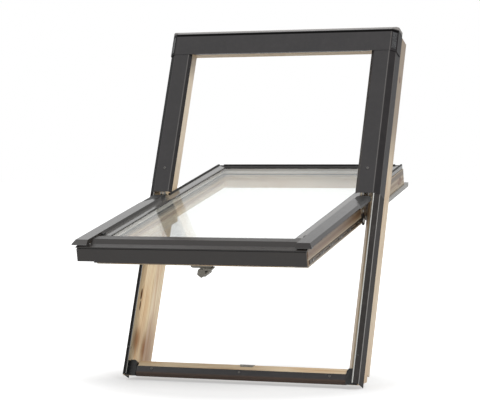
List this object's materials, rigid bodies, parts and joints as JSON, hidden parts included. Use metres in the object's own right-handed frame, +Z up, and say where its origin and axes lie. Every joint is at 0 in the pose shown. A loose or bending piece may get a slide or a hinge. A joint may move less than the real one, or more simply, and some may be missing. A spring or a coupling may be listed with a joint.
{
  "type": "roof window",
  "caption": "Centre-pivot roof window: pine frame with metal cladding, and a glazed sash that swings on its middle, with a turn handle and latch bolt.",
  "frame": {"origin": "middle of the bottom rail's under face, behind its cladding", "axes": "+X across to the right seen from outside, +Z up, +Y into the room; the frame leans back at the roof's pitch"},
  "size_m": [0.7862, 1.137, 1.1253],
  "materials": {
    "pine": "clear-varnished pine with knots",
    "anthracite_cladding": "anthracite paint, satin",
    "light_trim": "light grey edge trim",
    "black_plastic": "black moulded plastic",
    "black_rubber": "black rubber",
    "glass": "clear float glass",
    "spacer_metal": "mill finish",
    "hinge_steel": "galvanised steel",
    "dark_steel": "dark coated steel",
    "grey_strip": "grey extruded plastic",
    "handle_metal": "warm grey paint",
    "screw_steel": "zinc-plated"
  },
  "bodies": {
    "frame": {"frame_top_rail": "pine", "frame_bottom_rail": "pine", "hood": "anthracite_cladding", "bottom_cladding": "anthracite_cladding", "strike_plate": "hinge_steel", "cover_screws": "screw_steel", "sill_screws": "screw_steel", "frame_stile_left": "pine", "frame_stile_right": "pine", "upper_cover_left": "anthracite_cladding", "upper_cover_right": "anthracite_cladding", "lower_strip_left": "anthracite_cladding", "lower_strip_right": "anthracite_cladding", "strip_trim_left": "light_trim", "strip_trim_right": "light_trim", "corner_block_left": "black_plastic", "corner_block_right": "black_plastic", "frame_hinge_left": "hinge_steel", "frame_hinge_right": "hinge_steel", "pivot_pin_left": "hinge_steel", "pivot_pin_right": "hinge_steel", "strip_screw_left": "screw_steel", "strip_screw_right": "screw_steel"},
    "sash": {"back_strip_left": "grey_strip", "back_strip_right": "grey_strip", "bottom_apron": "anthracite_cladding", "bottom_cover": "anthracite_cladding", "corner_plug_left": "black_plastic", "corner_plug_right": "black_plastic", "glass_bed": "black_rubber", "glass_gasket": "black_rubber", "handle_base": "handle_metal", "handle_screws": "screw_steel", "hinge_cap_left": "black_plastic", "hinge_cap_right": "black_plastic", "inner_pane": "glass", "outer_pane": "glass", "sash_bottom_rail": "pine", "sash_cover_left": "anthracite_cladding", "sash_cover_right": "anthracite_cladding", "sash_hinge_left": "dark_steel", "sash_hinge_right": "dark_steel", "sash_stile_left": "pine", "sash_stile_right": "pine", "sash_top_rail": "pine", "side_bead_left": "anthracite_cladding", "side_bead_right": "anthracite_cladding", "side_rail_left": "dark_steel", "side_rail_right": "dark_steel", "side_rail_screws_left": "screw_steel", "side_rail_screws_right": "screw_steel", "side_seal_left": "black_rubber", "side_seal_right": "black_rubber", "spacer_bar": "spacer_metal", "top_bead": "anthracite_cladding", "top_lip": "grey_strip", "top_seal": "black_rubber"},
    "handle": {"handle_lever": "handle_metal", "handle_spindle": "hinge_steel"},
    "latch": {"latch_bolt": "hinge_steel"}
  },
  "joints": [
    {"name": "sash_pivot", "type": "hinge", "parent": "frame", "child": "sash", "pos_m": [0, 0.14178, 0.57549], "axis": [-1, 0, 0], "range_deg": [-56.4, 103.6]},
    {"name": "handle_turn", "type": "hinge", "parent": "sash", "child": "handle", "pos_m": [0, -0.34368, 0.37835], "axis": [0, 0.2096, -0.9778], "range_deg": [0, 90]},
    {"name": "latch_slide", "type": "slide", "parent": "sash", "child": "latch", "axis": [0, -0.9778, -0.2096], "range_m": [0, 0.0189]}
  ],
  "couplings": [
    {"joint": "latch_slide", "follows": "handle_turn", "m_per_rad": 0.012}
  ]
}
